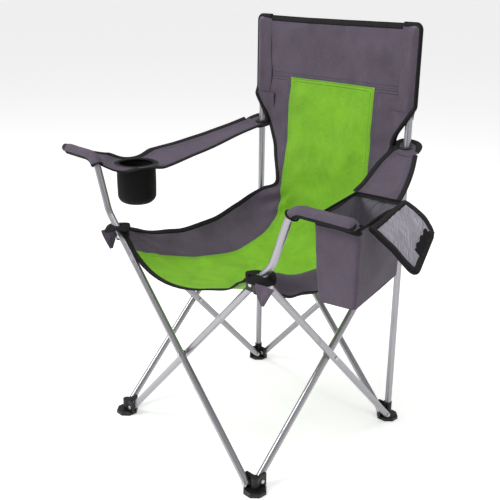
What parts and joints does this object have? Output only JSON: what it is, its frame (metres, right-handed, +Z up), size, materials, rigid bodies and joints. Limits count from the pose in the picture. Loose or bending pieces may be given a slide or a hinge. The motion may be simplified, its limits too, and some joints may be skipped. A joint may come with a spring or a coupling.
{
  "type": "folding camp chair",
  "caption": "Folding camp chair: crossed-tube frame with plastic feet and hubs, fabric sling seat and back, armrests with a mesh cup holder and a lidded cooler bag.",
  "frame": {"origin": "on the floor, midway between the centres of the four feet, with the chair open", "axes": "+Z up, -Y the way the sitter faces, +X the sitter's left"},
  "size_m": [0.9251, 0.476, 0.887],
  "materials": {
    "silver_tube": "silver-grey powder coat, satin",
    "rivet_steel": "zinc-plated",
    "black_plastic": "moulded, fine texture",
    "grey_fabric": "coated polyester, plain weave",
    "green_fabric": "coated polyester, plain weave",
    "black_mesh": "warp-knitted mesh",
    "black_webbing": "woven binding tape",
    "foil_lining": "silver-grey coated lining"
  },
  "bodies": {
    "rear_right_frame": {"post_right": "silver_tube", "foot_rear_right": "black_plastic", "foot_rivets_rear_right": "rivet_steel", "post_sleeve_right": "grey_fabric", "armrest_ring_right": "black_plastic", "back_upper": "grey_fabric", "head_panel": "grey_fabric"},
    "rear_outer_tube": {"tube_rear_outer": "silver_tube", "cross_rivet_rear": "rivet_steel"},
    "rear_inner_tube": {"tube_rear_inner": "silver_tube"},
    "rear_left_frame": {"post_left": "silver_tube", "foot_rear_left": "black_plastic", "foot_rivets_rear_left": "rivet_steel", "post_sleeve_left": "grey_fabric", "armrest_ring_left": "black_plastic"},
    "rear_right_hub": {"hub_rear_right": "black_plastic", "hub_rivets_rear_right": "rivet_steel"},
    "rear_left_hub": {"hub_rear_left": "black_plastic", "hub_rivets_rear_left": "rivet_steel"},
    "right_inner_tube": {"tube_right_inner": "silver_tube"},
    "right_outer_tube": {"tube_right_outer": "silver_tube", "cross_rivet_right": "rivet_steel"},
    "front_right_foot": {"foot_front_right": "black_plastic", "foot_rivets_front_right": "rivet_steel"},
    "front_right_hub": {"hub_front_right": "black_plastic", "hub_rivets_front_right": "rivet_steel", "seat_strap_right": "black_webbing"},
    "front_inner_tube": {"tube_front_inner": "silver_tube", "arm_cap_left": "black_plastic", "arm_sleeve_left": "grey_fabric"},
    "front_outer_tube": {"tube_front_outer": "silver_tube", "cross_rivet_front": "rivet_steel", "arm_cap_right": "black_plastic", "arm_sleeve_right": "grey_fabric"},
    "front_left_foot": {"foot_front_left": "black_plastic", "foot_rivets_front_left": "rivet_steel"},
    "front_left_hub": {"hub_front_left": "black_plastic", "hub_rivets_front_left": "rivet_steel", "seat_strap_left": "black_webbing"},
    "left_outer_tube": {"tube_left_outer": "silver_tube", "cross_rivet_left": "rivet_steel"},
    "left_inner_tube": {"tube_left_inner": "silver_tube"},
    "seat_front": {"seat_front_centre": "green_fabric", "seat_front_side_right": "grey_fabric", "seat_front_side_left": "grey_fabric"},
    "seat_rear": {"seat_rear_centre": "green_fabric", "seat_rear_side_right": "grey_fabric", "seat_rear_side_left": "grey_fabric"},
    "back_lower": {"back_lower_centre": "green_fabric", "back_lower_side_right": "grey_fabric", "back_lower_side_left": "grey_fabric"},
    "armrest_right": {"armrest_right": "grey_fabric"},
    "cup_holder": {"cup_ring": "black_webbing", "cup_mesh": "black_mesh"},
    "armrest_left": {"armrest_left": "grey_fabric"},
    "cooler_bag": {"cooler_bag": "grey_fabric", "cooler_rim": "black_webbing"},
    "cooler_lid": {"cooler_lid": "foil_lining", "lid_patch": "black_webbing"}
  },
  "joints": [
    {"name": "fold", "type": "hinge", "parent": "rear_right_frame", "child": "rear_outer_tube", "pos_m": [-0.1985, 0.2235, 0.017], "axis": [0, -1, 0], "range_deg": [0, 40], "deforming": ["back_upper", "head_panel", "seat_front_centre", "seat_front_side_right", "seat_front_side_left", "seat_rear_centre", "seat_rear_side_right", "seat_rear_side_left", "back_lower_centre", "back_lower_side_right", "back_lower_side_left", "armrest_right", "armrest_left"]},
    {"name": "rear_cross", "type": "hinge", "parent": "rear_outer_tube", "child": "rear_inner_tube", "pos_m": [0, 0.215, 0.227], "axis": [0, 1, 0], "range_deg": [0, 80]},
    {"name": "rear_left_foot_pivot", "type": "hinge", "parent": "rear_inner_tube", "child": "rear_left_frame", "pos_m": [0.1985, 0.2065, 0.017], "axis": [0, -1, 0], "range_deg": [0, 40]},
    {"name": "rear_right_hub_pivot", "type": "hinge", "parent": "rear_inner_tube", "child": "rear_right_hub", "pos_m": [-0.1985, 0.2065, 0.437], "axis": [0, -1, 0], "range_deg": [0, 40]},
    {"name": "rear_left_hub_pivot", "type": "hinge", "parent": "rear_outer_tube", "child": "rear_left_hub", "pos_m": [0.1985, 0.2235, 0.437], "axis": [0, 1, 0], "range_deg": [0, 40]},
    {"name": "right_inner_foot_pivot", "type": "hinge", "parent": "rear_right_frame", "child": "right_inner_tube", "pos_m": [-0.2065, 0.1985, 0.017], "axis": [-1, 0, 0], "range_deg": [0, 40]},
    {"name": "right_cross", "type": "hinge", "parent": "right_inner_tube", "child": "right_outer_tube", "pos_m": [-0.215, 0, 0.227], "axis": [1, 0, 0], "range_deg": [0, 80]},
    {"name": "front_right_foot_pivot", "type": "hinge", "parent": "right_outer_tube", "child": "front_right_foot", "pos_m": [-0.2235, -0.1985, 0.017], "axis": [-1, 0, 0], "range_deg": [0, 40]},
    {"name": "front_right_hub_pivot", "type": "hinge", "parent": "right_inner_tube", "child": "front_right_hub", "pos_m": [-0.2065, -0.1985, 0.437], "axis": [1, 0, 0], "range_deg": [0, 40]},
    {"name": "front_inner_foot_pivot", "type": "hinge", "parent": "front_right_foot", "child": "front_inner_tube", "pos_m": [-0.1985, -0.2065, 0.017], "axis": [0, -1, 0], "range_deg": [0, 40]},
    {"name": "front_cross", "type": "hinge", "parent": "front_inner_tube", "child": "front_outer_tube", "pos_m": [0, -0.215, 0.227], "axis": [0, 1, 0], "range_deg": [0, 80]},
    {"name": "front_left_foot_pivot", "type": "hinge", "parent": "front_outer_tube", "child": "front_left_foot", "pos_m": [0.1985, -0.2235, 0.017], "axis": [0, -1, 0], "range_deg": [0, 40]},
    {"name": "front_left_hub_pivot", "type": "hinge", "parent": "front_inner_tube", "child": "front_left_hub", "pos_m": [0.1985, -0.2065, 0.437], "axis": [0, 1, 0], "range_deg": [0, 40]},
    {"name": "left_outer_foot_pivot", "type": "hinge", "parent": "rear_left_frame", "child": "left_outer_tube", "pos_m": [0.2235, 0.1985, 0.017], "axis": [-1, 0, 0], "range_deg": [0, 40]},
    {"name": "left_cross", "type": "hinge", "parent": "left_outer_tube", "child": "left_inner_tube", "pos_m": [0.215, 0, 0.227], "axis": [1, 0, 0], "range_deg": [0, 80]},
    {"name": "seat_front_drop", "type": "hinge", "parent": "front_right_hub", "child": "seat_front", "pos_m": [-0.215, -0.215, 0.437], "axis": [-1, 0, 0], "range_deg": [0, 60]},
    {"name": "seat_rear_drop", "type": "hinge", "parent": "rear_right_hub", "child": "seat_rear", "pos_m": [-0.215, 0.215, 0.437], "axis": [1, 0, 0], "range_deg": [0, 60]},
    {"name": "back_lower_lean", "type": "hinge", "parent": "rear_right_hub", "child": "back_lower", "pos_m": [-0.215, 0.2, 0.437], "axis": [1, 0, 0], "range_deg": [0, 4.8]},
    {"name": "armrest_right_lift", "type": "hinge", "parent": "rear_right_frame", "child": "armrest_right", "pos_m": [-0.215, 0.215, 0.635], "axis": [-0.9323, 0.3453, 0.1075], "range_deg": [0, 73.42]},
    {"name": "armrest_left_lift", "type": "hinge", "parent": "rear_left_frame", "child": "armrest_left", "pos_m": [0.215, 0.215, 0.635], "axis": [-0.9463, -0.298, -0.125], "range_deg": [0, 77.92]},
    {"name": "cup_slide", "type": "slide", "parent": "armrest_right", "child": "cup_holder", "axis": [0.1567, 0.9872, -0.0302], "range_m": [0, 0.1982]},
    {"name": "bag_swing", "type": "slide", "parent": "rear_left_frame", "child": "cooler_bag", "axis": [-0.0941, 0.9217, 0.3762], "range_m": [0, 0.2663]},
    {"name": "cooler_lid_hinge", "type": "hinge", "parent": "cooler_bag", "child": "cooler_lid", "pos_m": [0.41986, -0.16732, 0.5895], "axis": [0.2484, -0.9687, 0], "range_deg": [0, 203]}
  ],
  "couplings": [
    {"joint": "rear_cross", "follows": "fold", "ratio": 2},
    {"joint": "rear_left_foot_pivot", "follows": "fold", "ratio": 1},
    {"joint": "rear_right_hub_pivot", "follows": "fold", "ratio": 1},
    {"joint": "rear_left_hub_pivot", "follows": "fold", "ratio": 1},
    {"joint": "right_inner_foot_pivot", "follows": "fold", "ratio": 1},
    {"joint": "right_cross", "follows": "fold", "ratio": 2},
    {"joint": "front_right_foot_pivot", "follows": "fold", "ratio": 1},
    {"joint": "front_right_hub_pivot", "follows": "fold", "ratio": 1},
    {"joint": "front_inner_foot_pivot", "follows": "fold", "ratio": 1},
    {"joint": "front_cross", "follows": "fold", "ratio": 2},
    {"joint": "front_left_foot_pivot", "follows": "fold", "ratio": 1},
    {"joint": "front_left_hub_pivot", "follows": "fold", "ratio": 1},
    {"joint": "left_outer_foot_pivot", "follows": "fold", "ratio": 1},
    {"joint": "left_cross", "follows": "fold", "ratio": 2},
    {"joint": "seat_front_drop", "follows": "fold", "ratio": 1.5},
    {"joint": "seat_rear_drop", "follows": "fold", "ratio": 1.5},
    {"joint": "back_lower_lean", "follows": "fold", "ratio": 0.12},
    {"joint": "armrest_right_lift", "follows": "fold", "ratio": 1.8354},
    {"joint": "armrest_left_lift", "follows": "fold", "ratio": 1.9479},
    {"joint": "cup_slide", "follows": "fold", "m_per_rad": 0.28318},
    {"joint": "bag_swing", "follows": "fold", "m_per_rad": 0.38073}
  ]
}
